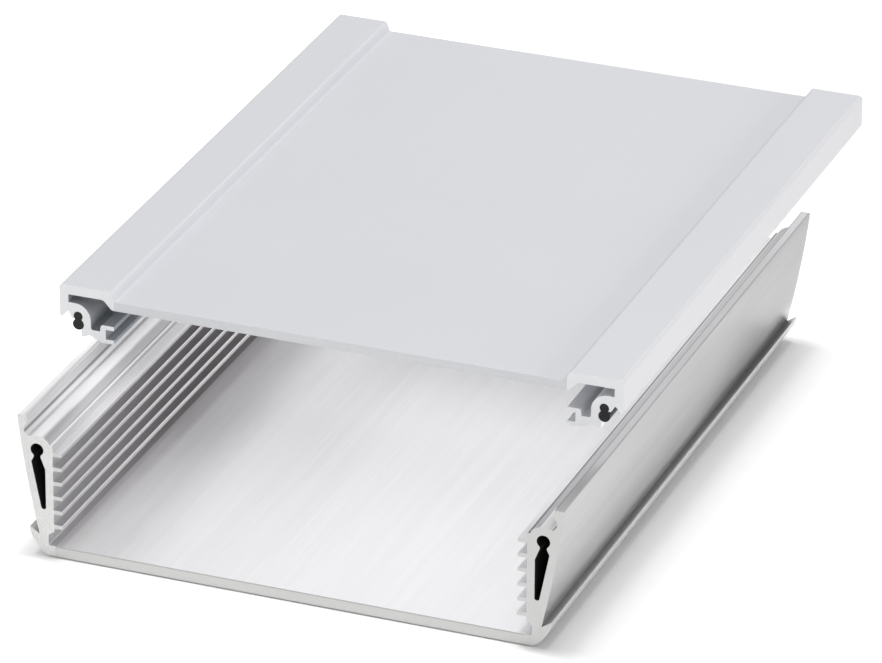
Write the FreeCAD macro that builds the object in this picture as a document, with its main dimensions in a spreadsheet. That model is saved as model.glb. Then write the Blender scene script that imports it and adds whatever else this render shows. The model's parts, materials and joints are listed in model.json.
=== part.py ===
import FreeCAD, Part
import math
import os
import Sketcher

# Aluminium profile enclosure: an extruded lower profile, an extruded cover profile and two
# seal strips. Every piece is a straight section cut to one length, drawn as a half section
# in the XZ plane (X to the side, Z up) and padded along Y. The row stands on its base, and
# the cover is shown taken off, behind and above its closed place.

# Driving dimensions, in millimetres unless a count or a factor is named

SIZES = {
    # Both profiles
    "length": 150.0,
    # Inside of the lower profile: it carries boards 100 wide in six levels
    "board_width": 100.0,
    "board_play": 0.45,
    "floor_thickness": 2.3,
    "recess_height": 2.3,
    "recess_slope": 0.9,
    "recess_depth": 1.25,
    "recess_round": 0.3,
    "rib_start": 0.75,
    "rib_thickness": 0.85,
    "rib_depth": 1.95,
    "rib_round": 0.2,
    "rib_root": 0.4,
    "rib_pitch": 3.22,
    "rib_count": 6,
    "wall_shoulder": 1.45,
    # Foot rail along each lower edge
    "base_inset": 1.45,
    "foot_reach": 3.85,
    "foot_height": 5.2,
    "foot_curve": 9.0,
    "foot_tip": 0.65,
    "foot_groove_reach": 1.75,
    "foot_groove_height": 4.5,
    # Side wall and the lip along its top
    "wall_spread": 7.55,
    "wall_curve": 240.0,
    "lip_lean": 0.13,
    "lip_width": 2.05,
    "lip_round": 0.3,
    "barb_height": 1.75,
    "barb_reach": 0.6,
    "barb_slope": 0.65,
    "barb_round": 0.2,
    "groove_height": 1.2,
    "groove_bevel": 0.7,
    # Screw channel and the hollow under it
    "screw_diameter": 2.8,
    "screw_web": 3.38,
    "screw_drop": 1.42,
    "lip_rise": 7.27,
    "boss_wall": 1.8,
    "boss_outer_start": 1.47,
    "boss_inner_step": 0.7,
    "neck_width": 1.5,
    "neck_drop": 1.63,
    "chamber_wall": 1.6,
    "chamber_taper": 0.2,
    "chamber_web": 1.65,
    "inner_shoulder": 4.13,
    "outer_shoulder": 2.73,
    "chamber_floor": 7.9,
    "tip_roundness": 0.48,
    # Seal strip: a small bulb held in the cover and a large one that lies on the lip
    "strip_head": 1.9,
    "strip_bulb": 2.4,
    "strip_waist": 1.5,
    "strip_pitch": 1.8,
    "strip_fit": 0.05,
    "strip_reach": 0.45,
    "strip_gap": 0.05,
    # Cover: rails, plate and skirt
    "cover_overhang": 2.45,
    "cover_round": 0.8,
    "rail_width": 11.45,
    "rail_thickness": 2.05,
    "rail_slope": 0.7,
    "rail_round": 0.6,
    "step_height": 2.15,
    "plate_thickness": 1.9,
    "skirt_thickness": 1.95,
    "skirt_height": 6.7,
    "skirt_tip_inset": 0.45,
    "skirt_tip_drop": 0.6,
    "notch_inset": 1.85,
    "notch_depth": 1.5,
    "seat_height": 7.2,
    "under_step_width": 9.65,
    "under_round": 1.2,
    # Strip holder under each rail
    "holder_radius": 3.4,
    "holder_offset": 0.65,
    "holder_lip": 1.4,
    "holder_side": 1.4,
    "tooth_play": 0.2,
    "tooth_drop": 3.9,
    "web_low": 0.65,
    "web_rise": 0.55,
    "web_first": 1.8,
    "web_second": 1.3,
    "web_third": 1.4,
    "trough_drop": 1.95,
    "trough_bevel": 0.25,
    "trough_width": 1.75,
    # Guide channel that faces inwards beside each holder
    "guide_top": 0.45,
    "guide_round": 0.6,
    "guide_slot": 2.1,
    "guide_lip": 0.95,
    "guide_lower_lip": 0.9,
    "guide_depth": 1.85,
    "guide_back": 1.0,
    "guide_tip_round": 0.2,
    # Place of the cover when it is taken off
    "cover_shift": 26.7,
    "cover_lift": 6.9,
}


class Size:
    """A length kept as a number and as an expression of the sheet's cells."""

    def __init__(self, text, value):
        self.text = text
        self.value = value

    def join(self, other, sign, value):
        return Size("(" + self.text + " " + sign + " " + other.text + ")", value)

    def __add__(self, other):
        other = as_size(other)
        return self.join(other, "+", self.value + other.value)

    def __sub__(self, other):
        other = as_size(other)
        return self.join(other, "-", self.value - other.value)

    def __mul__(self, other):
        other = as_size(other)
        return self.join(other, "*", self.value * other.value)

    def __truediv__(self, other):
        other = as_size(other)
        return self.join(other, "/", self.value / other.value)


def as_size(number):
    if isinstance(number, Size):
        return number
    return Size(repr(float(number)), float(number))


def named(name):
    return Size("Sizes." + name, float(SIZES[name]))


def root(size):
    return Size("sqrt(" + size.text + ")", math.sqrt(size.value))


class Corner:
    """One corner of an outline, with the rounding there or the arc that leaves it.

    An arc is taken counterclockwise, which bulges out of the piece, or inward. A large
    arc is the longer way round its circle.
    """

    def __init__(self, across, up, rounding=None, arc=None, large=False, inward=False):
        self.across = as_size(across)
        self.up = as_size(up)
        self.rounding = rounding
        self.arc = arc
        self.large = large
        self.inward = inward
        self.point = FreeCAD.Vector(self.across.value, self.up.value, 0.0)


def arc_centre(start, end, radius, large):
    """Centre of the counterclockwise arc from start to end."""
    chord = end - start
    half = chord.Length / 2.0
    offset = math.sqrt(max(radius * radius - half * half, 0.0))
    left = FreeCAD.Vector(-chord.y, chord.x, 0.0).normalize()
    if large:
        offset = -offset
    return (start + end) * 0.5 + left * offset


def arc_geometry(centre, start, end):
    """Arc that runs counterclockwise about centre from start to end."""
    circle = Part.Circle(centre, FreeCAD.Vector(0, 0, 1), (start - centre).Length)
    first = math.atan2(start.y - centre.y, start.x - centre.x)
    last = math.atan2(end.y - centre.y, end.x - centre.x)
    return Part.ArcOfCircle(circle, first, last)


class OutlineSketch:
    """Closed outline of corners, drawn counterclockwise, each held by its own sizes.

    A rounded corner keeps its sharp point as a construction point, so that the sizes
    still give where the two straight sides would meet.
    """

    START = 1
    END = 2

    def __init__(self, body, name, corners):
        self.sketch = body.newObject("Sketcher::SketchObject", name)
        plane = origin_plane(body, "XZ_Plane")
        self.sketch.AttachmentSupport = [(plane, "")]
        self.sketch.MapMode = "FlatFace"
        self.corners = corners
        self.geometry = []
        self.constraints = []
        self.bindings = []
        self.trim_ends()
        self.sides = [self.add_side(index) for index in range(len(corners))]
        for index in range(len(corners)):
            self.join_corner(index)
        self.sketch.addGeometry(self.geometry, False)
        self.add_sharp_points()
        self.sketch.addConstraint(self.constraints)
        for index, text in self.bindings:
            self.sketch.setExpression("Constraints[%d]" % index, text)

    def trim_ends(self):
        """Where each side really starts and ends, once the corners are rounded."""
        count = len(self.corners)
        self.starts = [corner.point for corner in self.corners]
        self.ends = [self.corners[(index + 1) % count].point for index in range(count)]
        for index, corner in enumerate(self.corners):
            if corner.rounding is None:
                continue
            before = (self.corners[index - 1].point - corner.point).normalize()
            after = (self.corners[(index + 1) % count].point - corner.point).normalize()
            cosine = before.dot(after)
            reach = corner.rounding.value * math.sqrt((1.0 + cosine) / (1.0 - cosine))
            self.ends[index - 1] = corner.point + before * reach
            self.starts[index] = corner.point + after * reach

    def add_side(self, index):
        corner = self.corners[index]
        start = self.starts[index]
        end = self.ends[index]
        if corner.arc is None:
            self.geometry.append(Part.LineSegment(start, end))
            return index
        if corner.inward:
            start, end = end, start
        centre = arc_centre(start, end, corner.arc.value, corner.large)
        self.geometry.append(arc_geometry(centre, start, end))
        self.bind("Radius", index, corner.arc)
        return index

    def side_start(self, index):
        return self.END if self.corners[index].inward else self.START

    def side_end(self, index):
        return self.START if self.corners[index].inward else self.END

    def bind(self, kind, *parts):
        """Add a constraint whose value, the last part, follows the sheet."""
        size = parts[-1]
        self.constraints.append(Sketcher.Constraint(kind, *parts[:-1], size.value))
        self.bindings.append((len(self.constraints) - 1, size.text))

    def hold(self, kind, *parts):
        self.constraints.append(Sketcher.Constraint(kind, *parts))

    def place(self, shape, end, corner):
        """Hold a point at the sizes of its corner, or on the axis where one is zero."""
        if corner.across.value == 0.0:
            self.hold("PointOnObject", shape, end, -2)
        else:
            self.bind("DistanceX", -1, 1, shape, end, corner.across)
        if corner.up.value == 0.0:
            self.hold("PointOnObject", shape, end, -1)
        else:
            self.bind("DistanceY", -1, 1, shape, end, corner.up)

    def join_corner(self, index):
        corner = self.corners[index]
        before = self.sides[index - 1]
        after = self.sides[index]
        if corner.rounding is None:
            self.hold("Coincident", before, self.side_end(index - 1), after,
                      self.side_start(index))
            self.place(after, self.side_start(index), corner)
            return
        start = self.ends[index - 1]
        end = self.starts[index]
        turn = (corner.point - start).cross(end - corner.point).z
        side = 1.0 if turn > 0.0 else -1.0
        along = (corner.point - start).normalize()
        inwards = FreeCAD.Vector(-along.y, along.x, 0.0) * side
        centre = start + inwards * corner.rounding.value
        shape = len(self.geometry)
        if side > 0.0:
            self.geometry.append(arc_geometry(centre, start, end))
            entry, leave = self.START, self.END
        else:
            self.geometry.append(arc_geometry(centre, end, start))
            entry, leave = self.END, self.START
        self.hold("Tangent", before, self.END, shape, entry)
        self.hold("Tangent", shape, leave, after, self.START)
        self.bind("Radius", shape, corner.rounding)

    def add_sharp_points(self):
        for index, corner in enumerate(self.corners):
            if corner.rounding is None:
                continue
            point = self.sketch.addGeometry(Part.Point(corner.point), True)
            self.hold("PointOnObject", point, self.START, self.sides[index - 1])
            self.hold("PointOnObject", point, self.START, self.sides[index])
            self.place(point, self.START, corner)


def origin_plane(body, role):
    return [item for item in body.Origin.OriginFeatures if item.Role == role][0]


def pad(body, name, sketch):
    """Extrude a section to the full length, half to each side of the XZ plane."""
    feature = body.newObject("PartDesign::Pad", name)
    feature.Profile = sketch
    feature.SideType = "Symmetric"
    feature.setExpression("Length", "Sizes.length")
    return feature


def cut_through(body, name, sketch):
    feature = body.newObject("PartDesign::Pocket", name)
    feature.Profile = sketch
    feature.Type = "ThroughAll"
    feature.SideType = "Symmetric"
    return feature


def mirror(body, name):
    """The other half of the section, about the YZ plane."""
    feature = body.newObject("PartDesign::Mirrored", name)
    feature.TransformMode = "Whole shape"
    feature.MirrorPlane = (origin_plane(body, "YZ_Plane"), [""])
    body.Tip = feature
    return feature


def new_body(document, name):
    body = document.addObject("PartDesign::Body", name)
    body.Label = name
    return body


# Places that more than one piece uses

INNER_WALL = named("board_width") / 2 + named("board_play")
FLOOR = named("floor_thickness")
RECESS_TOP = FLOOR + named("recess_height")
RIB_LOW = RECESS_TOP + named("recess_slope") + named("rib_start")
RIB_STACK = (named("rib_count") - 1) * named("rib_pitch")
WALL_TOP = RIB_LOW + RIB_STACK + named("rib_thickness") + named("wall_shoulder")
SCREW_X = INNER_WALL + named("screw_web")
SCREW_Z = WALL_TOP - named("screw_drop")
SCREW_RADIUS = named("screw_diameter") / 2
BOSS_RADIUS = SCREW_RADIUS + named("boss_wall")
LIP_OUTER = INNER_WALL + named("wall_spread")
LIP_INNER = LIP_OUTER - named("lip_width")
LIP_TOP = SCREW_Z + named("lip_rise")
BASE_HALF = INNER_WALL + named("base_inset")

STRIP_X = LIP_INNER + named("strip_reach")
BULB_Z = LIP_TOP + named("strip_gap") + named("strip_bulb") / 2
HEAD_Z = BULB_Z + named("strip_pitch")
SEAT_HEAD = named("strip_head") / 2 + named("strip_fit")
SEAT_BULB = named("strip_bulb") / 2 + named("strip_fit")
SEAT_WAIST = named("strip_waist") / 2 + named("strip_fit")
SEAT_Z = HEAD_Z - root(SEAT_HEAD * SEAT_HEAD - SEAT_WAIST * SEAT_WAIST)
COVER_HALF = LIP_OUTER + named("cover_overhang")
COVER_TOP = SEAT_Z + named("seat_height")


def on_boss(across, side):
    """Height of the boss's round top at a distance across."""
    reach = across - SCREW_X
    return SCREW_Z + root(BOSS_RADIUS * BOSS_RADIUS - reach * reach) * side


def wall_arc():
    """Centre and radius of the side wall's outer face, which bulges a little outwards."""
    low_x = BASE_HALF + named("foot_groove_reach")
    low_z = named("foot_groove_height")
    high_x = LIP_OUTER - named("lip_lean")
    high_z = LIP_TOP - named("barb_height")
    run = high_x - low_x
    rise = high_z - low_z
    chord = root(run * run + rise * rise)
    radius = named("wall_curve")
    offset = root(radius * radius - chord * chord / 4)
    centre_x = (low_x + high_x) / 2 - rise / chord * offset
    centre_z = (low_z + high_z) / 2 + run / chord * offset
    return centre_x, centre_z, radius


def on_wall(up):
    """Distance across of the side wall's outer face at a height."""
    centre_x, centre_z, radius = wall_arc()
    drop = up - centre_z
    return centre_x + root(radius * radius - drop * drop)


def lower_outline():
    """Half section of the lower profile without its ribs and screw chamber."""
    foot_x = BASE_HALF + named("foot_reach")
    foot_z = named("foot_height")
    barb_z = LIP_TOP - named("barb_height")
    neck_x = LIP_INNER + named("barb_reach")
    neck_z = barb_z - named("barb_slope")
    groove_z = neck_z - named("groove_height")
    boss_out = SCREW_X + named("boss_outer_start")
    boss_out_z = on_boss(boss_out, 1)
    bevel_x = neck_x - named("groove_bevel")
    boss_in = INNER_WALL + named("boss_inner_step")
    recess_x = INNER_WALL + named("recess_depth")
    return [
        Corner(0, 0),
        Corner(BASE_HALF, 0, arc=named("foot_curve")),
        Corner(foot_x, foot_z),
        Corner(foot_x, foot_z + named("foot_tip")),
        Corner(BASE_HALF + named("foot_groove_reach"), named("foot_groove_height"),
               arc=named("wall_curve")),
        Corner(LIP_OUTER - named("lip_lean"), barb_z),
        Corner(LIP_OUTER, LIP_TOP, named("lip_round")),
        Corner(LIP_INNER, LIP_TOP, named("lip_round")),
        Corner(LIP_INNER, barb_z, named("barb_round")),
        Corner(neck_x, neck_z),
        Corner(neck_x, groove_z),
        Corner(bevel_x, boss_out_z),
        Corner(boss_out, boss_out_z, arc=BOSS_RADIUS),
        Corner(boss_in, on_boss(boss_in, 1)),
        Corner(boss_in, WALL_TOP),
        Corner(INNER_WALL, WALL_TOP),
        Corner(INNER_WALL, RECESS_TOP + named("recess_slope")),
        Corner(recess_x, RECESS_TOP),
        Corner(recess_x, FLOOR, named("recess_round")),
        Corner(0, FLOOR),
    ]


def chamber_outline():
    """Screw channel with the tapering hollow that opens under it."""
    half_neck = named("neck_width") / 2
    neck_z = SCREW_Z - root(SCREW_RADIUS * SCREW_RADIUS - half_neck * half_neck)
    neck_low = SCREW_Z - named("neck_drop")
    inner_x = INNER_WALL + named("chamber_web")
    outer_z = SCREW_Z - named("outer_shoulder")
    floor_z = FLOOR + named("chamber_floor")
    outer_low = on_wall(floor_z) - named("chamber_wall") - named("chamber_taper")
    tip_round = (outer_low - inner_x) * named("tip_roundness")
    return [
        Corner(SCREW_X + half_neck, neck_z, arc=SCREW_RADIUS, large=True),
        Corner(SCREW_X - half_neck, neck_z),
        Corner(SCREW_X - half_neck, neck_low),
        Corner(inner_x, SCREW_Z - named("inner_shoulder")),
        Corner(inner_x, floor_z, tip_round),
        Corner(outer_low, floor_z, tip_round),
        Corner(on_wall(outer_z) - named("chamber_wall"), outer_z),
        Corner(SCREW_X + half_neck, neck_low),
    ]


def rib_outline():
    """Lowest board rib, rooted a little inside the wall."""
    tip_x = INNER_WALL - named("rib_depth")
    root_x = INNER_WALL + named("rib_root")
    top_z = RIB_LOW + named("rib_thickness")
    return [
        Corner(tip_x, RIB_LOW, named("rib_round")),
        Corner(root_x, RIB_LOW),
        Corner(root_x, top_z),
        Corner(tip_x, top_z, named("rib_round")),
    ]


def make_lower_profile(document):
    body = new_body(document, "lower_profile")
    outline = OutlineSketch(body, "lower_outline", lower_outline())
    pad(body, "lower_wall", outline.sketch)
    rib = OutlineSketch(body, "rib_outline", rib_outline())
    rib_pad = pad(body, "rib", rib.sketch)
    document.recompute()
    ribs = body.newObject("PartDesign::LinearPattern", "ribs")
    ribs.Originals = [rib_pad]
    ribs.Direction = (origin_plane(body, "Z_Axis"), [""])
    ribs.setExpression("Length", RIB_STACK.text)
    ribs.setExpression("Occurrences", "Sizes.rib_count")
    body.Tip = ribs
    chamber = OutlineSketch(body, "chamber_outline", chamber_outline())
    cut_through(body, "screw_chamber", chamber.sketch)
    mirror(body, "lower_both_sides")
    return body


def strip_outline():
    """Section of a seal strip in the closed enclosure, even about its upright axis."""
    head = named("strip_head") / 2
    bulb = named("strip_bulb") / 2
    half_waist = named("strip_waist") / 2
    head_low = HEAD_Z - root(head * head - half_waist * half_waist)
    bulb_high = BULB_Z + root(bulb * bulb - half_waist * half_waist)
    return [
        Corner(STRIP_X + half_waist, head_low, arc=head, large=True),
        Corner(STRIP_X - half_waist, head_low),
        Corner(STRIP_X - half_waist, bulb_high, arc=bulb, large=True),
        Corner(STRIP_X + half_waist, bulb_high),
    ]


def cover_outline():
    """Half section of the cover, from the plate round to the skirt.

    Under the rail it has the strip's seat, whose lower edge is a tooth that centres the
    closed cover between the lips, and a guide channel.
    """
    bulb_high = BULB_Z + root(SEAT_BULB * SEAT_BULB - SEAT_WAIST * SEAT_WAIST)
    plate_top = COVER_TOP - named("step_height")
    plate_low = plate_top - named("plate_thickness")
    rail_low = COVER_TOP - named("rail_thickness")
    rail_in = COVER_HALF - named("rail_width")
    skirt_in = COVER_HALF - named("skirt_thickness")
    skirt_low = COVER_TOP - named("skirt_height")
    skirt_tip = COVER_HALF - named("skirt_tip_inset")
    holder_x = STRIP_X + named("holder_offset")
    holder_in = holder_x - named("holder_radius")
    holder_top = SEAT_Z + named("holder_radius")
    tooth_x = LIP_INNER - named("tooth_play")
    tooth_in = STRIP_X - tooth_x
    tooth_top = BULB_Z - root(SEAT_BULB * SEAT_BULB - tooth_in * tooth_in)
    tooth_z = SEAT_Z - named("tooth_drop")
    web_x = tooth_x - named("web_first")
    web_z = tooth_z + named("web_low")
    web_next = web_x - named("web_second")
    web_last = web_next - named("web_third")
    guide_top = SEAT_Z - named("guide_top")
    slot_top = guide_top - named("guide_lip")
    slot_low = slot_top - named("guide_slot")
    guide_low = slot_low - named("guide_lower_lip")
    trough_out = holder_in - named("trough_bevel")
    trough_in = trough_out - named("trough_width")
    trough_z = SEAT_Z - named("trough_drop")
    guide_out = trough_in - named("trough_bevel")
    slot_back = guide_out - named("guide_back")
    guide_tip = slot_back - named("guide_depth")
    tip_round = named("guide_tip_round")
    return [
        Corner(0, plate_low),
        Corner(rail_in, plate_low, named("under_round")),
        Corner(COVER_HALF - named("under_step_width"), rail_low, named("under_round")),
        Corner(skirt_in, rail_low),
        Corner(skirt_in, holder_top),
        Corner(holder_x, holder_top, arc=named("holder_radius")),
        Corner(holder_in, SEAT_Z),
        Corner(holder_in, SEAT_Z - named("holder_side")),
        Corner(trough_out, trough_z),
        Corner(trough_in, trough_z),
        Corner(guide_out, guide_top, named("guide_round")),
        Corner(guide_tip, guide_top, tip_round),
        Corner(guide_tip, slot_top, tip_round),
        Corner(slot_back, slot_top),
        Corner(slot_back, slot_low),
        Corner(guide_tip, slot_low, tip_round),
        Corner(guide_tip, guide_low, tip_round),
        Corner(web_last, guide_low),
        Corner(web_next, web_z - named("web_rise")),
        Corner(web_x, web_z),
        Corner(tooth_x, tooth_z),
        Corner(tooth_x, tooth_top, arc=SEAT_BULB, inward=True),
        Corner(STRIP_X - SEAT_WAIST, bulb_high),
        Corner(STRIP_X - SEAT_WAIST, SEAT_Z, arc=SEAT_HEAD, large=True, inward=True),
        Corner(STRIP_X + SEAT_WAIST, SEAT_Z),
        Corner(STRIP_X + named("holder_lip"), SEAT_Z),
        Corner(COVER_HALF - named("notch_inset"), SEAT_Z + named("notch_depth")),
        Corner(skirt_tip, skirt_low - named("skirt_tip_drop")),
        Corner(COVER_HALF, skirt_low),
        Corner(COVER_HALF, COVER_TOP, named("cover_round")),
        Corner(rail_in, COVER_TOP, named("rail_round")),
        Corner(rail_in - named("rail_slope"), plate_top, named("rail_round")),
        Corner(0, plate_top),
    ]


def set_open_place(body, turned):
    """Put a piece of the cover where the cover is shown, behind and above its seat."""
    rotation = FreeCAD.Rotation(FreeCAD.Vector(0, 0, 1), 180.0 if turned else 0.0)
    body.Placement = FreeCAD.Placement(FreeCAD.Vector(0, 0, 0), rotation)
    body.setExpression(".Placement.Base.y", "Sizes.cover_shift")
    body.setExpression(".Placement.Base.z", "Sizes.cover_lift")


def make_cover_profile(document):
    body = new_body(document, "cover_profile")
    outline = OutlineSketch(body, "cover_outline", cover_outline())
    pad(body, "cover_half", outline.sketch)
    document.recompute()
    mirror(body, "cover_both_sides")
    set_open_place(body, False)
    return body


def make_strip(document, side, turned):
    """A strip's section is even about its upright axis, so the left one is turned round."""
    body = new_body(document, "seal_strip_" + side)
    outline = OutlineSketch(body, "strip_outline_" + side, strip_outline())
    pad(body, "strip_" + side, outline.sketch)
    set_open_place(body, turned)
    return body


def make_sheet(document):
    sheet = document.addObject("Spreadsheet::Sheet", "Sizes")
    for row, name in enumerate(SIZES, 1):
        sheet.set("A%d" % row, name)
        sheet.set("B%d" % row, str(SIZES[name]))
        sheet.setAlias("B%d" % row, name)
    document.recompute()
    return sheet


def check_document(document, bodies):
    for item in document.Objects:
        if "Invalid" in item.State or "Error" in item.State:
            raise RuntimeError(item.Name + " failed: " + ", ".join(item.State))
    for body in bodies:
        shape = body.Shape
        if shape.isNull() or not shape.isValid() or len(shape.Solids) != 1:
            raise RuntimeError(body.Label + " is not one valid solid")


def main():
    document = FreeCAD.newDocument("profile_enclosure")
    make_sheet(document)
    bodies = [
        make_lower_profile(document),
        make_cover_profile(document),
        make_strip(document, "left", True),
        make_strip(document, "right", False),
    ]
    document.recompute()
    check_document(document, bodies)
    os.makedirs("parts", exist_ok=True)
    for body in bodies:
        body.Shape.exportStep(os.path.join("parts", body.Label + ".step"))
        box = body.Shape.BoundBox
        print("%s: %.1f mm3, X %.2f to %.2f, Y %.2f to %.2f, Z %.2f to %.2f"
              % (body.Label, body.Shape.Volume, box.XMin, box.XMax, box.YMin, box.YMax,
                 box.ZMin, box.ZMax))


main()
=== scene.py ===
import json
import math

import bpy
from mathutils import Matrix, Vector


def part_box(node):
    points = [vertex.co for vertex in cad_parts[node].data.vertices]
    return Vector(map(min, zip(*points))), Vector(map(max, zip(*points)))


# An open aluminium profile enclosure: a ribbed channel, its cover lifted off and shifted
# back, and two black seal strips under the cover. Lengths are in metres.

# Photograph frame and camera
PHOTO_WIDTH = 882
FOCAL_PIXELS = 6894.0
SENSOR_WIDTH_MM = 36.0
CAMERA_AZIMUTH = math.radians(21.09)
CAMERA_ELEVATION = math.radians(25.56)
CAMERA_ROLL = math.radians(0.34)
CAMERA_AIM = Vector((-0.00136, 0.01219, 0.02))
CAMERA_DISTANCE = 1.4307
CAMERA_CLIP_END = 20.0

# Stage: painted light makes the floor whiter to the camera left of the object than elsewhere,
# lightening the object's shadow there
FLOOR_HALF = 6.0
FLOOR_DROP = 0.00025
FLOOR_COLOUR = (0.90, 0.90, 0.90, 1.0)
FLOOR_GLOW = 0.03
FLOOR_LEFT_PAINTED_LIGHT = 0.28
FLOOR_LEFT_START = -0.050
FLOOR_LEFT_END = -0.061
WHITE = (1.0, 1.0, 1.0, 1.0)
BLACK = (0.0, 0.0, 0.0, 1.0)

# Light: an even white room and soft lamps that face the middle of the object. The channel is
# lit as if the cover weren't there, and a soft panel makes up for what the cover still takes.
# Each lamp has a place, a size and a power.
ROOM_LEVEL = 0.50
ROOM_SHINE = 0.80
SHOWN_LEVEL = 1.0
FLOOR_RIGHT_LAMP = ((0.09, 0.0, 1.0), (0.07, 0.35), 3.9)
FLOOR_LEFT_LAMP = ((-0.15, 0.0, 1.0), (0.27, 0.35), 3.9)
CHANNEL_LAMP = ((-0.05, -0.05, 1.0), (0.35, 0.35), 4.9)
COVER_TOP_LAMP = ((0.0, 0.15, 1.0), (0.35, 0.35), 3.95)
COVER_SIDE_LAMP = ((0.93, -0.12, 0.20), (0.35, 0.35), 3.7)
PANEL_LAMP = ((0.0, 0.0245, 0.0350), (0.113, 0.143), 0.026)

# Textures: the pattern's stretch along X, Y and Z, its scale, detail and roughness
EVEN = (1.0, 1.0, 1.0)
FINE_LINES = ((1.0, 0.012, 1.0), 2600.0, 3.0, 0.6)
BROAD_LINES = ((1.0, 0.03, 1.0), 420.0, 3.0, 0.55)
CHANNEL_CLOUD = (EVEN, 28.0, 3.0, 0.5)
COVER_CLOUD = (EVEN, 14.0, 4.0, 0.55)
COVER_GRAIN = (EVEN, 5200.0, 2.0, 0.6)
COVER_LINES = ((1.0, 0.01, 1.0), 900.0, 2.0, 0.5)
RUBBER_BLOOM = (EVEN, 900.0, 3.0, 0.6)
RUBBER_LINES = ((1.0, 0.02, 1.0), 2200.0, 2.0, 0.5)
SAW_PLACE = (0.31, 0.0, 0.22)
SAW_WAVE = {"Scale": 900.0, "Distortion": 6.0, "Detail": 3.0, "Detail Scale": 4.0}

# Parts of a texture's range that a mix or a roughness goes through
LINE_SPAN = (0.12, 0.38)
CLOUD_SPAN = (0.3, 0.7)
BLOOM_SPAN = (0.35, 0.75)
SAW_SPAN = (0.1, 0.9)

# Relief: strength and depth
CHANNEL_RELIEF = (0.03, 0.00003)
COVER_GRAIN_RELIEF = (0.12, 0.00002)
COVER_LINE_RELIEF = (0.03, 0.00003)
RUBBER_RELIEF = (0.3, 0.00003)

# Roughness and shine
CHANNEL_ROUGHNESS = (0.29, 0.34)
CUT_ROUGHER = 0.22
HOLLOW_ROUGHNESS = 0.9
COVER_ROUGHNESS = (0.57, 0.62)
RUBBER_ROUGHNESS = (0.38, 0.55)
RUBBER_SPECULAR = 0.35
CHANNEL_METAL = 0.8
COVER_METAL = 0.25
COVER_INSIDE_METAL = 0.2

# How much less metallic some of the channel's faces are
FOOT_PLAIN = 0.5
CUT_PLAIN = 0.3
FRONT_PLAIN = 0.4
CREST_PLAIN = 0.7

# Colours of the channel
CHANNEL_COLOUR = (0.90, 0.895, 0.905, 1.0)
CHANNEL_LINE_COLOUR = (0.86, 0.845, 0.85, 1.0)
# Painted shade: the walls' outer faces are darker than the rest of the channel
SKIN_SHADE_COLOUR = (0.63, 0.63, 0.635, 1.0)
SKIN_LINE_SHADE_COLOUR = (0.59, 0.585, 0.59, 1.0)
# Painted light: a pale band low on the walls' outer faces
SKIN_FOOT_PAINTED_LIGHT = (0.90, 0.90, 0.905, 1.0)
# Painted shade: the board slots and the recess below them are darker, less so near the front
# end
SLOT_SHADE_COLOUR = (0.40, 0.385, 0.39, 1.0)
SLOT_FRONT_SHADE_COLOUR = (0.68, 0.67, 0.675, 1.0)
# Painted shade: the ribs' flat tips are greyer than their rounded edges
TIP_SHADE_COLOUR = (0.56, 0.55, 0.555, 1.0)
# Painted shadow: a dark line in the undercut under the lip's barb
NECK_SHADOW_COLOUR = (0.42, 0.42, 0.42, 1.0)
FOOT_COLOUR = (0.76, 0.76, 0.765, 1.0)
CHANNEL_CUT_COLOUR = (0.71, 0.71, 0.70, 1.0)
# Painted light: the left wall's sawn ends are paler than the others
CHANNEL_CUT_LEFT_LIGHT = (0.92, 0.92, 0.91, 1.0)
CHANNEL_MARK_COLOUR = (0.69, 0.69, 0.68, 1.0)
CHANNEL_EDGE_COLOUR = (0.50, 0.50, 0.50, 1.0)
# Painted shade: the screw channel and the hollow under it are painted black
HOLLOW_PAINTED_SHADE = (0.004, 0.004, 0.004, 1.0)

# Colours of the cover and of the strips
COVER_COLOUR = (0.70, 0.705, 0.735, 1.0)
COVER_CLOUD_COLOUR = (0.68, 0.69, 0.72, 1.0)
COVER_UNDER_LEFT = (0.72, 0.74, 0.765, 1.0)
COVER_UNDER_RIGHT = (0.70, 0.715, 0.74, 1.0)
# Painted shade: the cover's inside faces, dark on the left and pale on the right; the dark
# one also shades the steps
COVER_DEEP_SHADE_COLOUR = (0.36, 0.375, 0.395, 1.0)
COVER_PALE_SHADE_COLOUR = (0.80, 0.81, 0.83, 1.0)
# Painted shade: the skirt is a little darker and less blue than the top
SKIRT_SHADE_COLOUR = (0.65, 0.645, 0.66, 1.0)
COVER_CUT_COLOUR = (0.78, 0.79, 0.81, 1.0)
COVER_MARK_COLOUR = (0.765, 0.775, 0.795, 1.0)
# Painted light: the rails' cut ends are paler than the plate's
COVER_RAIL_CUT_LIGHT = (0.93, 0.94, 0.955, 1.0)
RUBBER_COLOUR = (0.005, 0.005, 0.0055, 1.0)
RUBBER_GREY = (0.016, 0.016, 0.017, 1.0)

# How far a face has to turn to count as a cut end, a rib's flat tip, a rail's inner face, or
# one that faces up or down
CUT_FACE_LEVEL = 0.7
FLAT_TIP_LEVEL = 0.95
FOOT_UP_LEVEL = 0.5
UP_LEVEL = 0.3

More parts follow.
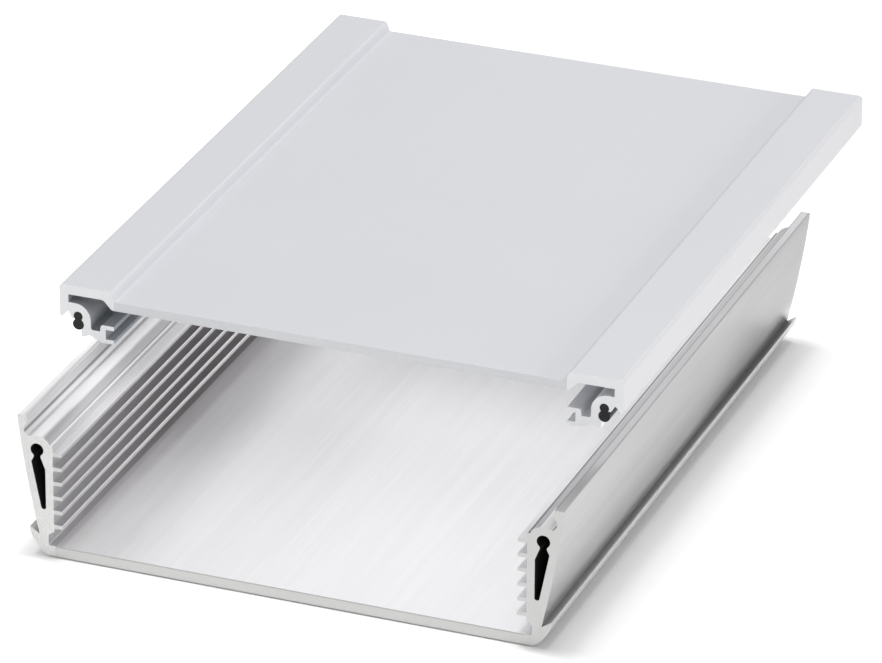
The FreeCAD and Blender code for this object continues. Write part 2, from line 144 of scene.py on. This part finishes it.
# Places in the channel's section, as distances from its middle and heights. They come in the
# order in which the section is drawn: the wall's outer face, the foot rail, the floor, the
# board slots with the recess under them, the hollow and the screw channel, the wall's flat
# top, the boss round the screw channel, and the lip.
WALL_FOOT = 0.0530
WALL_SLOPE = 0.174
SKIN_MARGIN = 0.0003
SKIN_DEPTH = 0.0007
FOOT_INNER = 0.0530
FOOT_HIGH = 0.0061
FOOT_TOP = 0.0048
FLOOR_TOP = 0.0026
FLOOR_EDGE_UP = (0.0020, 0.0024)
RECESS_ACROSS = (0.0501, 0.0521)
RECESS_TOP = 0.0064
SLOT_ACROSS = (0.0487, 0.0512)
SLOT_UP = (0.0058, 0.0229)
TIP_UP = (0.0058, 0.0234)
TOP_RIB_UP = (0.0228, 0.0234)
HOLLOW_MARGIN = 0.0009
HOLLOW_INNER = 0.0516
HOLLOW_UP = (0.0095, 0.0222)
SCREW_X = 0.05383
SCREW_Z = 0.02323
SCREW_RADIUS = 0.0016
TOP_LOW = 0.0240
WALL_STRIP_ACROSS = (0.0503, 0.0506)
WALL_STRIP_UP = (0.0232, 0.0250)
SHOULDER_ACROSS = (0.0506, 0.0511)
BOSS_SIDE_ACROSS = (0.0511, 0.0527)
BOSS_SIDE_TURN = (0.0527, 0.0521)
BOSS_TOP_ACROSS = (0.0511, 0.0531)
BOSS_CREST_ACROSS = (0.0527, 0.0550)
GROOVE_ACROSS = (0.0531, 0.0556)
LIP_INNER = 0.0556
LIP_EDGE = 0.0563
LIP_MIDDLE = 0.0567
LIP_LOW = 0.0280
NECK_ACROSS = (0.0560, 0.0569)
NECK_UP = (0.0267, 0.0274)

# Places along and across the channel: where its front turns into its back, where the left
# wall's cut begins, where the floor's painted shade begins and where the right groove's
# painted shade begins
BACK_SPAN = (-0.075, 0.0)
LEFT_CUT = -0.0503
FLOOR_ACROSS = (-0.045, -0.015)
GROOVE_SHOWN = -0.066

# Painted light: a pale band at the foot of the wall's outer face, with its heights and its
# share at the front
SKIN_FOOT_BOTTOM = 0.0054
SKIN_FOOT_SPAN = (0.0110, 0.0068)
SKIN_FOOT_FRONT = 0.5

# Where each painted shade of the channel starts and ends, and the share of light that it
# takes
SKIN_MIDDLE = (-0.075, 0.0, 0.13)
SKIN_BACK = (0.010, 0.050, 0.21)
SKIN_LOW = (0.0180, 0.0045, 0.08)
FLOOR_ALONG = (-0.090, 0.010, 0.22)
FLOOR_BACK = (0.0, 0.045, 0.27)
LEFT_ALONG = (-0.056, -0.026, 0.33)
LEFT_RIB_ALONG = (-0.056, -0.026, 0.25)
RIGHT_RIB_ALONG = (-0.095, -0.020, 0.27)

# Painted shade: shares of light that the walls' upper edges lose all along
LEFT_BOSS_SHADE = 0.36
LEFT_LIP_SHADE = 0.10
WALL_STRIP_SHADE = 0.15
RIGHT_LIP_SHADE = 0.37
RIGHT_LIP_EDGE_SHADE = 0.5
RIGHT_BOSS_SHADE = 0.53
RIGHT_SHOULDER_SHADE = 0.74

# Cover: the step from its rails down to its plate, the skin of its outer faces, the span in
# which the painted shade of its inside turns from the left colour to the right one, the
# rails' cuts, and the painted shade at the foot of each step
COVER_STEP = 0.00215
COVER_SKIN = 0.0004
INSIDE_SPAN = (-0.05, 0.05)
RAIL_INNER = 0.0485
STEP_FOOT = 0.0484
STEP_REACH = 0.0007
STEP_SHADE = 0.12
STEP_REACH_RIGHT = 0.0014
STEP_SHADE_RIGHT = 0.36


class Shader:
    """A material's node tree, built by short calls.

    It knows where on its object the shaded point lies: across, along and height are the
    point's X, Y and Z, side is its distance from the middle, and facing is the surface's
    direction.
    """

    def __init__(self, name):
        self.material = bpy.data.materials.new(name)
        self.material.use_nodes = True
        self.nodes = self.material.node_tree.nodes
        self.links = self.material.node_tree.links
        coordinates = self.add("ShaderNodeTexCoord").outputs
        self.place = coordinates["Object"]
        self.across, self.along, self.height = self.split(self.place)
        self.side = self.math("ABSOLUTE", self.across)
        self.facing = self.split(coordinates["Normal"])

    def add(self, kind, **values):
        node = self.nodes.new(kind)
        for key, value in values.items():
            setattr(node, key, value)
        return node

    def give(self, socket, value):
        """Set a socket to a value, or link it to another socket."""
        if isinstance(value, (int, float, tuple)):
            socket.default_value = value
        else:
            self.links.new(value, socket)

    def surface(self, name, value):
        self.give(self.nodes["Principled BSDF"].inputs[name], value)

    def split(self, vector):
        node = self.add("ShaderNodeSeparateXYZ")
        self.give(node.inputs[0], vector)
        return node.outputs

    def math(self, operation, *values):
        node = self.add("ShaderNodeMath", operation=operation)
        for socket, value in zip(node.inputs, values):
            self.give(socket, value)
        return node.outputs[0]

    def mix(self, factor, first, second):
        node = self.add("ShaderNodeMix", data_type="RGBA")
        for index, value in ((0, factor), (6, first), (7, second)):
            self.give(node.inputs[index], value)
        return node.outputs[2]

    def ramp(self, factor, low, high, first=0.0, last=1.0):
        """A smooth step from first to last while factor goes from low to high."""
        node = self.add("ShaderNodeMapRange", interpolation_type="SMOOTHSTEP")
        for socket, value in zip(node.inputs, (factor, low, high, first, last)):
            self.give(socket, value)
        return node.outputs[0]

    def both(self, *values):
        """Product of masks or levels."""
        result = values[0]
        for value in values[1:]:
            result = self.math("MULTIPLY", result, value)
        return result

    def either(self, *values):
        """Largest of masks or levels."""
        result = values[0]
        for value in values[1:]:
            result = self.math("MAXIMUM", result, value)
        return result

    def opposite(self, mask):
        return self.math("SUBTRACT", 1.0, mask)

    def above(self, value, level):
        return self.math("GREATER_THAN", value, level)

    def below(self, value, level):
        return self.math("LESS_THAN", value, level)

    def between(self, value, span):
        """One where the value lies inside the span."""
        return self.both(self.above(value, span[0]), self.below(value, span[1]))

    def field(self, across, up):
        """One in a rectangle of the section, alike on both sides of its middle."""
        return self.both(self.between(self.side, across), self.between(self.height, up))

    def noise(self, look):
        stretch, scale, detail, roughness = look
        mapping = self.add("ShaderNodeMapping")
        self.give(mapping.inputs["Vector"], self.place)
        self.give(mapping.inputs["Scale"], stretch)
        node = self.add("ShaderNodeTexNoise")
        self.give(node.inputs["Vector"], mapping.outputs[0])
        self.give(node.inputs["Scale"], scale)
        self.give(node.inputs["Detail"], detail)
        self.give(node.inputs["Roughness"], roughness)
        return node.outputs[0]

    def bump(self, height, relief, before=None):
        """Relief from a height, on top of an earlier one where that is given."""
        strength, distance = relief
        node = self.add("ShaderNodeBump")
        self.give(node.inputs["Strength"], strength)
        self.give(node.inputs["Distance"], distance)
        self.give(node.inputs["Height"], height)
        if before is not None:
            self.give(node.inputs["Normal"], before)
        return node.outputs[0]


def cut_mask(shader):
    """One on the sawn end faces, nought on the drawn faces."""
    return shader.above(shader.math("ABSOLUTE", shader.facing[1]), CUT_FACE_LEVEL)


def saw_marks(shader):
    """Fine, slightly curved strokes across an end face."""
    moved = shader.add("ShaderNodeMapping")
    shader.give(moved.inputs["Vector"], shader.place)
    shader.give(moved.inputs["Location"], SAW_PLACE)
    wave = shader.add("ShaderNodeTexWave", wave_type="RINGS", rings_direction="Y")
    shader.give(wave.inputs["Vector"], moved.outputs[0])
    for name, value in SAW_WAVE.items():
        shader.give(wave.inputs[name], value)
    return shader.ramp(wave.outputs["Fac"], *SAW_SPAN)


def wall_at(shader, margin):
    """Distance across of the side wall's outer face at each height, less a margin."""
    return shader.math("MULTIPLY_ADD", shader.height, WALL_SLOPE, WALL_FOOT - margin)


def foot_mask(shader):
    """One on the foot rails, outside the floor."""
    return shader.both(shader.above(shader.side, FOOT_INNER),
                       shader.below(shader.height, FOOT_HIGH))


def skin_mask(shader, foot):
    """One on the outer face of the side walls and on the foot rails' inner face."""
    over = shader.math("SUBTRACT", shader.side, wall_at(shader, SKIN_MARGIN))
    wall = shader.both(shader.between(over, (0.0, SKIN_DEPTH)),
                       shader.above(shader.height, FOOT_TOP))
    return shader.either(wall, shader.both(foot, shader.above(shader.facing[2],
                                                              FOOT_UP_LEVEL)))


def floor_mask(shader):
    """One on the floor's upper face between the recesses."""
    return shader.both(shader.below(shader.side, RECESS_ACROSS[0]),
                       shader.below(shader.height, FLOOR_TOP))


def slot_mask(shader):
    """One inside the board slots, behind the tips of the ribs, and in the recess below."""
    recess = shader.both(shader.between(shader.side, RECESS_ACROSS),
                         shader.below(shader.height, RECESS_TOP))
    return shader.either(shader.field(SLOT_ACROSS, SLOT_UP), recess)


def tip_mask(shader):
    """One on the flat tips of the ribs, between their rounded edges."""
    flat = shader.above(shader.math("ABSOLUTE", shader.facing[0]), FLAT_TIP_LEVEL)
    return shader.both(flat, shader.below(shader.side, SLOT_ACROSS[0]),
                       shader.between(shader.height, TIP_UP))


def hollow_mask(shader):
    """One inside the screw channel and the hollow under it."""
    hollow = shader.both(shader.above(shader.side, HOLLOW_INNER),
                         shader.between(shader.height, HOLLOW_UP),
                         shader.below(shader.side, wall_at(shader, HOLLOW_MARGIN)))
    across = shader.math("SUBTRACT", shader.side, SCREW_X)
    up = shader.math("SUBTRACT", shader.height, SCREW_Z)
    away = shader.math("SQRT", shader.math("ADD", shader.both(across, across),
                                           shader.both(up, up)))
    return shader.either(hollow, shader.below(away, SCREW_RADIUS))


def crest_mask(shader):
    """One on the left wall's upward faces: its flat top, and those of the boss and lip."""
    crests = shader.either(shader.between(shader.side, BOSS_CREST_ACROSS),
                           shader.above(shader.side, LIP_MIDDLE),
                           shader.between(shader.side, SHOULDER_ACROSS))
    return shader.both(crests, shader.above(shader.facing[2], UP_LEVEL),
                       shader.above(shader.height, TOP_LOW),
                       shader.below(shader.across, 0.0))


def shade(shader, level, mask, share):
    """The level, less a share of it where the mask is one."""
    return shader.both(level, shader.math("MULTIPLY_ADD", mask, -share, 1.0))


def shade_along(shader, level, value, shade_range, mask):
    """The level, less a share that grows while the value goes through a range."""
    start, end, share = shade_range
    return shade(shader, level, shader.both(mask, shader.ramp(value, start, end)), share)


def upper_level(shader):
    """Painted shade on the walls' upper edges.

    The left ones dim towards the back and where the screw channel's side faces inwards.
    The right ones carry more painted shade all along.
    """
    side = shader.side
    rising = shader.above(shader.facing[2], UP_LEVEL)
    left = shader.below(shader.across, 0.0)
    inner = shader.below(side, LIP_MIDDLE)
    top = shader.both(shader.above(shader.height, TOP_LOW), shader.either(rising, inner))
    left_top = shader.both(top, inner, left)
    right_top = shader.both(top, shader.opposite(left))
    rib = shader.both(rising, shader.between(shader.height, TOP_RIB_UP))
    left_rib = shader.both(rib, left)
    right_rib = shader.math("SUBTRACT", rib, left_rib)
    level = 1.0
    for shade_range, mask in ((LEFT_ALONG, left_top), (LEFT_RIB_ALONG, left_rib),
                              (RIGHT_RIB_ALONG, right_rib)):
        level = shade_along(shader, level, shader.along, shade_range, mask)
    left_boss = shader.both(left_top, shader.between(side, BOSS_SIDE_ACROSS),
                            shader.ramp(side, *BOSS_SIDE_TURN))
    left_lip = shader.both(left_top, shader.above(shader.height, LIP_LOW))
    right_lip = shader.both(right_top, shader.above(side, LIP_INNER))
    groove = shader.both(shader.between(side, GROOVE_ACROSS),
                         shader.above(shader.along, GROOVE_SHOWN))
    right_boss = shader.both(right_top, shader.either(
        shader.between(side, BOSS_TOP_ACROSS), groove))
    # Painted shade on the walls' upper edges, the boss and the lips
    for share, mask in (
        (LEFT_BOSS_SHADE, left_boss),
        (LEFT_LIP_SHADE, left_lip),
        (WALL_STRIP_SHADE, shader.field(WALL_STRIP_ACROSS, WALL_STRIP_UP)),
        (RIGHT_LIP_SHADE, right_lip),
        (RIGHT_LIP_EDGE_SHADE, shader.both(right_lip, shader.below(side, LIP_EDGE))),
        (RIGHT_BOSS_SHADE, right_boss),
        (RIGHT_SHOULDER_SHADE, shader.both(right_top,
                                           shader.between(side, SHOULDER_ACROSS))),
    ):
        level = shade(shader, level, mask, share)
    return level


def channel_level(shader, skin, floor):
    """Painted shade on the channel's drawn faces, each shade in its own place."""
    level = upper_level(shader)
    plate = shader.both(floor, shader.ramp(shader.across, *FLOOR_ACROSS))
    # Painted shade: the walls' outer faces darken towards the back and their foot, the floor
    # towards the back
    for value, shade_range, mask in (
        (shader.along, SKIN_MIDDLE, skin),
        (shader.along, SKIN_BACK, skin),
        (shader.height, SKIN_LOW, skin),
        (shader.along, FLOOR_ALONG, plate),
        (shader.along, FLOOR_BACK, plate),
    ):
        level = shade_along(shader, level, value, shade_range, mask)
    return level


def channel_drawn_colour(shader, lines, back, foot, floor):
    """Colour of the channel's drawn faces, with painted shade and painted light in their
    places.
    """
    line = shader.ramp(lines, *LINE_SPAN)
    skin = skin_mask(shader, foot)
    # Painted light: a pale band low on the walls' outer faces, fuller towards the back
    low = shader.both(
        shader.ramp(shader.height, *SKIN_FOOT_SPAN),
        shader.above(shader.height, SKIN_FOOT_BOTTOM),
        shader.math("MULTIPLY_ADD", back, 1.0 - SKIN_FOOT_FRONT, SKIN_FOOT_FRONT))
    # Painted shade: darker colours on the walls' outer faces
    outer = shader.mix(line, SKIN_LINE_SHADE_COLOUR, SKIN_SHADE_COLOUR)
    colour = shader.mix(line, CHANNEL_LINE_COLOUR, CHANNEL_COLOUR)
    for mask, over in (
        (foot, FOOT_COLOUR),
        (skin, shader.mix(low, outer, SKIN_FOOT_PAINTED_LIGHT)),
        # Painted shade in the slots and the recess, lighter near the front end
        (slot_mask(shader), shader.mix(back, SLOT_FRONT_SHADE_COLOUR, SLOT_SHADE_COLOUR)),
        # Painted shade on the ribs' flat tips
        (tip_mask(shader), TIP_SHADE_COLOUR),
        # Painted shadow under the lip's barb
        (shader.field(NECK_ACROSS, NECK_UP), NECK_SHADOW_COLOUR),
    ):
        colour = shader.mix(mask, colour, over)
    # The colour is darkened by the painted shade
    return shader.mix(channel_level(shader, skin, floor), BLACK, colour)


def channel_cut_colour(shader):
    """Colour of the channel's sawn ends, with painted light on the left ones, and a line
    along the floor.
    """
    # Painted light: the left wall's sawn ends are paler
    left = shader.below(shader.across, LEFT_CUT)
    colour = shader.mix(left, CHANNEL_CUT_COLOUR, CHANNEL_CUT_LEFT_LIGHT)
    colour = shader.mix(saw_marks(shader), CHANNEL_MARK_COLOUR, colour)
    edge = shader.both(shader.between(shader.height, FLOOR_EDGE_UP),
                       shader.below(shader.side, RECESS_ACROSS[0]))
    return shader.mix(edge, colour, CHANNEL_EDGE_COLOUR)


def channel_material():
    """Natural extruded aluminium: bright, with drawing lines along the profile, and painted
    shade and light in places.
    """
    shader = Shader("channel_aluminium")
    lines = shader.both(shader.noise(FINE_LINES), shader.noise(BROAD_LINES))
    back = shader.ramp(shader.along, *BACK_SPAN)
    foot = foot_mask(shader)
    floor = floor_mask(shader)
    ends = cut_mask(shader)
    # Painted shade: black, rough and not metallic inside the screw channel and the hollow
    dark = shader.both(hollow_mask(shader), shader.opposite(ends))
    colour = shader.mix(ends, channel_drawn_colour(shader, lines, back, foot, floor),
                        channel_cut_colour(shader))
    shader.surface("Base Color", shader.mix(dark, colour, HOLLOW_PAINTED_SHADE))
    matte = shader.ramp(shader.noise(CHANNEL_CLOUD), *CLOUD_SPAN, *CHANNEL_ROUGHNESS)
    rough = shader.math("ADD", matte, shader.both(ends, CUT_ROUGHER))
    shader.surface("Roughness", shader.either(rough, shader.both(dark, HOLLOW_ROUGHNESS)))
    plainer = shader.either(
        shader.both(foot, FOOT_PLAIN),
        shader.both(ends, CUT_PLAIN),
        shader.both(floor, shader.opposite(back), FRONT_PLAIN),
        shader.both(crest_mask(shader), CREST_PLAIN))
    shader.surface("Metallic", shader.both(
        shader.math("SUBTRACT", CHANNEL_METAL, plainer), shader.opposite(dark)))
    shader.surface("Normal", shader.bump(lines, CHANNEL_RELIEF))
    return shader.material


def cover_material(box):
    """Matte, finely etched aluminium of a cool pale grey, with painted shade and light in
    places.
    """
    shader = Shader("cover_aluminium")
    up = shader.facing[2]
    lines = shader.noise(COVER_LINES)
    cloud = shader.ramp(shader.noise(COVER_CLOUD), *CLOUD_SPAN)
    # Painted shade: a dark line along the foot of each rail step, wider and stronger on the
    # right
    away = shader.math("ABSOLUTE", shader.math("SUBTRACT", shader.side, STEP_FOOT))
    near = shader.ramp(away, 0.0, STEP_REACH, STEP_SHADE, 0.0)
    wide = shader.both(shader.ramp(away, 0.0, STEP_REACH_RIGHT, STEP_SHADE_RIGHT, 0.0),
                       shader.above(shader.across, 0.0))
    plain = shader.mix(shader.either(near, wide),
                       shader.mix(cloud, COVER_CLOUD_COLOUR, COVER_COLOUR),
                       COVER_DEEP_SHADE_COLOUR)
    top = shader.both(shader.above(up, UP_LEVEL),
                      shader.above(shader.height, box[1][2] - COVER_STEP - COVER_SKIN))
    skirt = shader.above(shader.side, box[1][0] - COVER_SKIN)
    outside = shader.either(top, skirt)
    # Painted shade on the inside faces, darker on the left
    right = shader.ramp(shader.across, *INSIDE_SPAN)
    inside = shader.mix(shader.below(up, -UP_LEVEL),
                        shader.mix(right, COVER_DEEP_SHADE_COLOUR, COVER_PALE_SHADE_COLOUR),
                        shader.mix(right, COVER_UNDER_LEFT, COVER_UNDER_RIGHT))
    # Painted shade on the skirt
    faces = shader.mix(outside, inside, shader.mix(skirt, plain, SKIRT_SHADE_COLOUR))
    cut = shader.mix(saw_marks(shader), COVER_MARK_COLOUR, COVER_CUT_COLOUR)
    # Painted light on the rails' cut ends
    cut = shader.mix(shader.above(shader.side, RAIL_INNER), cut, COVER_RAIL_CUT_LIGHT)
    shader.surface("Base Color", shader.mix(cut_mask(shader), faces, cut))
    shader.surface("Roughness", shader.ramp(lines, *CLOUD_SPAN, *COVER_ROUGHNESS))
    shader.surface("Metallic", shader.math(
        "MULTIPLY_ADD", outside, COVER_METAL - COVER_INSIDE_METAL, COVER_INSIDE_METAL))
    relief = shader.bump(shader.noise(COVER_GRAIN), COVER_GRAIN_RELIEF)
    shader.surface("Normal", shader.bump(lines, COVER_LINE_RELIEF, relief))
    return shader.material


def rubber_material():
    """Black rubber with a faint bloom and moulding lines along the strip."""
    shader = Shader("seal_rubber")
    bloom = shader.noise(RUBBER_BLOOM)
    shader.surface("Base Color", shader.mix(shader.ramp(bloom, *BLOOM_SPAN),
                                            RUBBER_COLOUR, RUBBER_GREY))
    shader.surface("Roughness", shader.ramp(bloom, *CLOUD_SPAN, *RUBBER_ROUGHNESS))
    shader.surface("Normal", shader.bump(shader.noise(RUBBER_LINES), RUBBER_RELIEF))
    shader.surface("Specular IOR Level", RUBBER_SPECULAR)
    return shader.material


def dress(node, material):
    slots = node.data.materials
    slots.clear()
    slots.append(material)


def camera_axes():
    """Right, up and back of the camera, turned by its roll."""
    back = Vector((
        math.sin(CAMERA_AZIMUTH) * math.cos(CAMERA_ELEVATION),
        -math.cos(CAMERA_AZIMUTH) * math.cos(CAMERA_ELEVATION),
        math.sin(CAMERA_ELEVATION),
    ))
    level = Vector((0.0, 0.0, 1.0)).cross(back).normalized()
    upright = back.cross(level)
    right = level * math.cos(CAMERA_ROLL) + upright * math.sin(CAMERA_ROLL)
    return right, back.cross(right), back


def make_camera():
    data = bpy.data.cameras.new("camera")
    data.sensor_fit = "HORIZONTAL"
    data.sensor_width = SENSOR_WIDTH_MM
    data.lens = SENSOR_WIDTH_MM * FOCAL_PIXELS / PHOTO_WIDTH
    data.clip_end = CAMERA_CLIP_END
    camera = bpy.data.objects.new("camera", data)
    bpy.context.collection.objects.link(camera)
    right, up, back = camera_axes()
    turn = Matrix((right, up, back)).transposed().to_4x4()
    place = CAMERA_AIM + back * CAMERA_DISTANCE
    camera.matrix_world = Matrix.Translation(place) @ turn
    bpy.context.scene.camera = camera


def blend(tree, factor, first, last, start=0.0, end=1.0):
    """A level that goes from first to last while the factor goes from start to end."""
    node = tree.nodes.new("ShaderNodeMapRange")
    for socket, value in zip(node.inputs, (factor, start, end, first, last)):
        if isinstance(value, float):
            socket.default_value = value
        else:
            tree.links.new(value, socket)
    return node.outputs[0]


def make_world():
    """An even room that mirror-like faces see a little brighter and the camera sees white."""
    world = bpy.data.worlds.new("studio")
    world.use_nodes = True
    bpy.context.scene.world = world
    tree = world.node_tree
    path = tree.nodes.new("ShaderNodeLightPath")
    room = blend(tree, path.outputs["Is Glossy Ray"], ROOM_LEVEL, ROOM_SHINE)
    level = blend(tree, path.outputs["Is Camera Ray"], room, SHOWN_LEVEL)
    background = tree.nodes["Background"]
    background.inputs["Color"].default_value = WHITE
    tree.links.new(level, background.inputs["Strength"])


def group(name, pieces):
    members = bpy.data.collections.new(name)
    for piece in pieces:
        members.objects.link(piece)
    return members


def make_area_light(name, lamp, lit=(), shading=()):
    """A rectangular lamp that faces the middle of the object.

    It lights only the pieces in lit, and only those in shading throw its shadow. With none
    given, that is every piece.
    """
    place, size, power = lamp
    data = bpy.data.lights.new(name, "AREA")
    data.shape = "RECTANGLE"
    data.size, data.size_y = size
    data.energy = power
    light = bpy.data.objects.new(name, data)
    light.location = place
    light.rotation_euler = Vector(place).to_track_quat("Z", "Y").to_euler()
    light.visible_camera = False
    bpy.context.collection.objects.link(light)
    if lit:
        light.light_linking.receiver_collection = group(name + "_lit", lit)
    if shading:
        light.light_linking.blocker_collection = group(name + "_shading", shading)
    return light


def make_floor():
    """A white floor, white where lit, that keeps the object's shadow, lightened left of it by
    painted light.
    """
    corners = [(-FLOOR_HALF, -FLOOR_HALF, 0.0), (FLOOR_HALF, -FLOOR_HALF, 0.0),
               (FLOOR_HALF, FLOOR_HALF, 0.0), (-FLOOR_HALF, FLOOR_HALF, 0.0)]
    mesh = bpy.data.meshes.new("floor")
    mesh.from_pydata(corners, [], [(0, 1, 2, 3)])
    floor = bpy.data.objects.new("floor", mesh)
    floor.location.z = -FLOOR_DROP
    bpy.context.collection.objects.link(floor)
    material = bpy.data.materials.new("floor")
    material.use_nodes = True
    tree = material.node_tree
    tree.nodes.remove(tree.nodes["Principled BSDF"])
    paper = tree.nodes.new("ShaderNodeBsdfDiffuse")
    paper.inputs["Color"].default_value = FLOOR_COLOUR
    glow = tree.nodes.new("ShaderNodeEmission")
    place = tree.nodes.new("ShaderNodeSeparateXYZ")
    tree.links.new(tree.nodes.new("ShaderNodeTexCoord").outputs["Object"], place.inputs[0])
    # Painted light: the camera sees the floor brighter left of the object, lightening the
    # object's shadow there
    shown = blend(tree, place.outputs[0], FLOOR_LEFT_PAINTED_LIGHT, FLOOR_GLOW,
                  FLOOR_LEFT_END, FLOOR_LEFT_START)
    path = tree.nodes.new("ShaderNodeLightPath")
    level = blend(tree, path.outputs["Is Camera Ray"], 0.0, shown)
    tree.links.new(level, glow.inputs["Strength"])
    both = tree.nodes.new("ShaderNodeAddShader")
    tree.links.new(paper.outputs[0], both.inputs[0])
    tree.links.new(glow.outputs[0], both.inputs[1])
    tree.links.new(both.outputs[0], tree.nodes["Material Output"].inputs["Surface"])
    mesh.materials.append(material)
    return floor


def make_lights(channel, cover, floor):
    make_area_light("floor_right", FLOOR_RIGHT_LAMP, [floor], [channel])
    make_area_light("floor_left", FLOOR_LEFT_LAMP, [floor], [channel])
    make_area_light("channel_top", CHANNEL_LAMP, [channel], [channel])
    make_area_light("cover_top", COVER_TOP_LAMP, cover)
    make_area_light("cover_side", COVER_SIDE_LAMP, cover)
    panel = make_area_light("panel", PANEL_LAMP)
    panel.rotation_euler = (0.0, 0.0, 0.0)


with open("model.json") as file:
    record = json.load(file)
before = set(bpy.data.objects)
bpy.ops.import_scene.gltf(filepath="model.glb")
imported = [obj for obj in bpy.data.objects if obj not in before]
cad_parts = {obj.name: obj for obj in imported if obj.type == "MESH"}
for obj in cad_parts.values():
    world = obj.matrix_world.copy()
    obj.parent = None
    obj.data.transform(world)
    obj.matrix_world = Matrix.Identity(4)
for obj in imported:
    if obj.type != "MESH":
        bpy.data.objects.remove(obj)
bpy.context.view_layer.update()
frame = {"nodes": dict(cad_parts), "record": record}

materials = {
    "channel_aluminium": channel_material(),
    "cover_aluminium": cover_material(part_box("cover_profile")),
    "seal_rubber": rubber_material(),
}
nodes = frame["nodes"]
for row in frame["record"]["subparts"]:
    dress(nodes[row["node"]], materials[row["material_slot"]])

make_camera()
make_world()
cover = [nodes[name] for name in frame["record"]["behaviour"]["bodies"]["cover"]]
make_lights(nodes["lower_profile"], cover, make_floor())
bpy.context.scene.view_settings.view_transform = "Standard"
